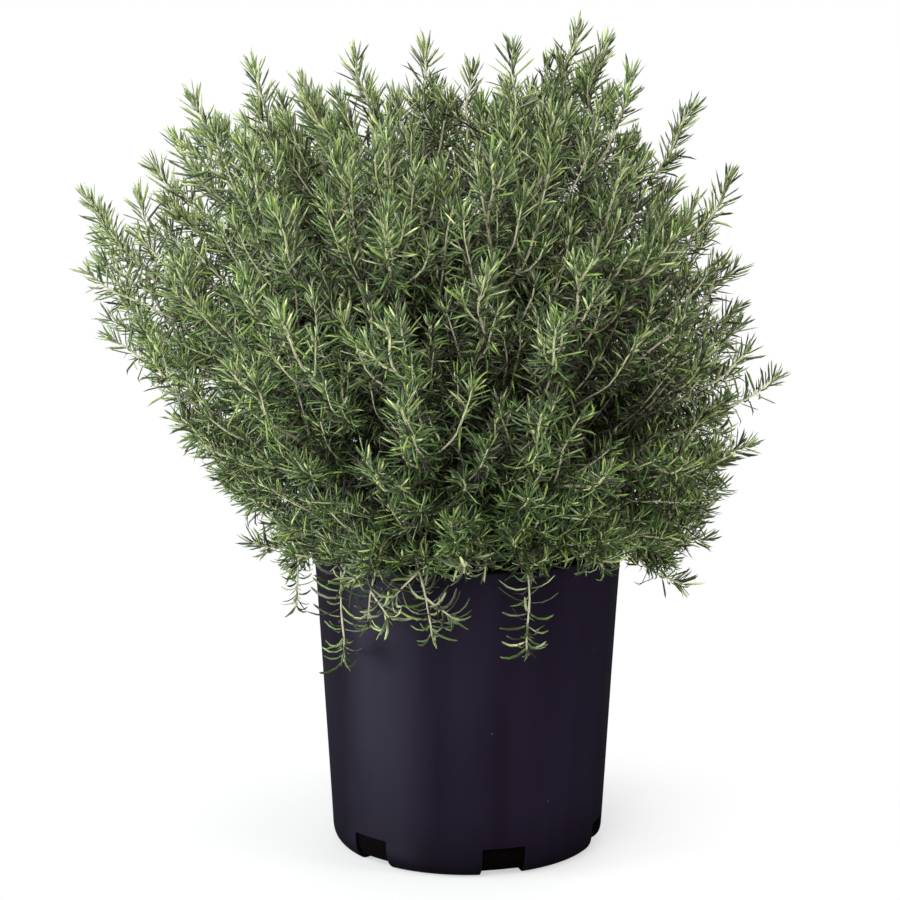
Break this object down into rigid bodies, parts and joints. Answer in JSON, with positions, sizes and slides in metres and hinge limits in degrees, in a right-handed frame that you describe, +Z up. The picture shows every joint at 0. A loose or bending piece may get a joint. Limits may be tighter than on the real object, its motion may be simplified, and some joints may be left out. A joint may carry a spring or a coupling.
{
  "type": "potted rosemary",
  "caption": "Dense rosemary bush in a tapered black nursery pot with drainage slots: leafy sprays fan out from a short woody trunk and a few hang over the lip.",
  "frame": {"origin": "centre of the pot's flat base, at the level of the surface it stands on", "axes": "+Z up along the pot's axis, the front of the bush toward -Y"},
  "size_m": [0.6654, 0.5863, 0.7832],
  "materials": {
    "pot_plastic": "black blow-moulded polyethylene with a soft sheen",
    "potting_mix": "dark brown, crumbly bark mix, matte",
    "branch_bark": "grey-brown, rough bark",
    "rosemary_leaf": "grey-green needles with pale undersides on pale green stems"
  },
  "bodies": {
    "root": {"pot": "pot_plastic", "potting_mix": "potting_mix", "woody_branches": "branch_bark", "hanging_spray_1": "rosemary_leaf", "hanging_spray_2": "rosemary_leaf", "leafy_spray_01": "rosemary_leaf", "leafy_spray_02": "rosemary_leaf", "leafy_spray_03": "rosemary_leaf", "leafy_spray_04": "rosemary_leaf", "leafy_spray_05": "rosemary_leaf", "leafy_spray_06": "rosemary_leaf", "leafy_spray_07": "rosemary_leaf", "leafy_spray_08": "rosemary_leaf", "leafy_spray_09": "rosemary_leaf", "leafy_spray_10": "rosemary_leaf", "leafy_spray_11": "rosemary_leaf", "leafy_spray_12": "rosemary_leaf", "leafy_spray_13": "rosemary_leaf", "leafy_spray_14": "rosemary_leaf", "leafy_spray_15": "rosemary_leaf", "leafy_spray_16": "rosemary_leaf", "leafy_spray_17": "rosemary_leaf", "leafy_spray_18": "rosemary_leaf", "leafy_spray_19": "rosemary_leaf", "leafy_spray_20": "rosemary_leaf", "leafy_spray_21": "rosemary_leaf", "leafy_spray_22": "rosemary_leaf", "leafy_spray_23": "rosemary_leaf", "leafy_spray_24": "rosemary_leaf", "leafy_spray_25": "rosemary_leaf", "leafy_spray_26": "rosemary_leaf", "leafy_spray_27": "rosemary_leaf", "leafy_spray_28": "rosemary_leaf", "leafy_spray_29": "rosemary_leaf", "leafy_spray_30": "rosemary_leaf", "leafy_spray_31": "rosemary_leaf", "leafy_spray_32": "rosemary_leaf", "leafy_spray_33": "rosemary_leaf", "leafy_spray_34": "rosemary_leaf", "leafy_spray_35": "rosemary_leaf", "leafy_spray_36": "rosemary_leaf", "leafy_spray_37": "rosemary_leaf", "leafy_spray_38": "rosemary_leaf", "leafy_spray_39": "rosemary_leaf", "leafy_spray_40": "rosemary_leaf", "leafy_spray_41": "rosemary_leaf", "leafy_spray_42": "rosemary_leaf", "leafy_spray_43": "rosemary_leaf", "leafy_spray_44": "rosemary_leaf", "leafy_spray_45": "rosemary_leaf", "leafy_spray_46": "rosemary_leaf", "leafy_spray_47": "rosemary_leaf", "leafy_spray_48": "rosemary_leaf", "leafy_spray_49": "rosemary_leaf", "leafy_spray_50": "rosemary_leaf", "leafy_spray_51": "rosemary_leaf", "leafy_spray_52": "rosemary_leaf", "leafy_spray_53": "rosemary_leaf", "leafy_spray_54": "rosemary_leaf"}
  },
  "joints": []
}
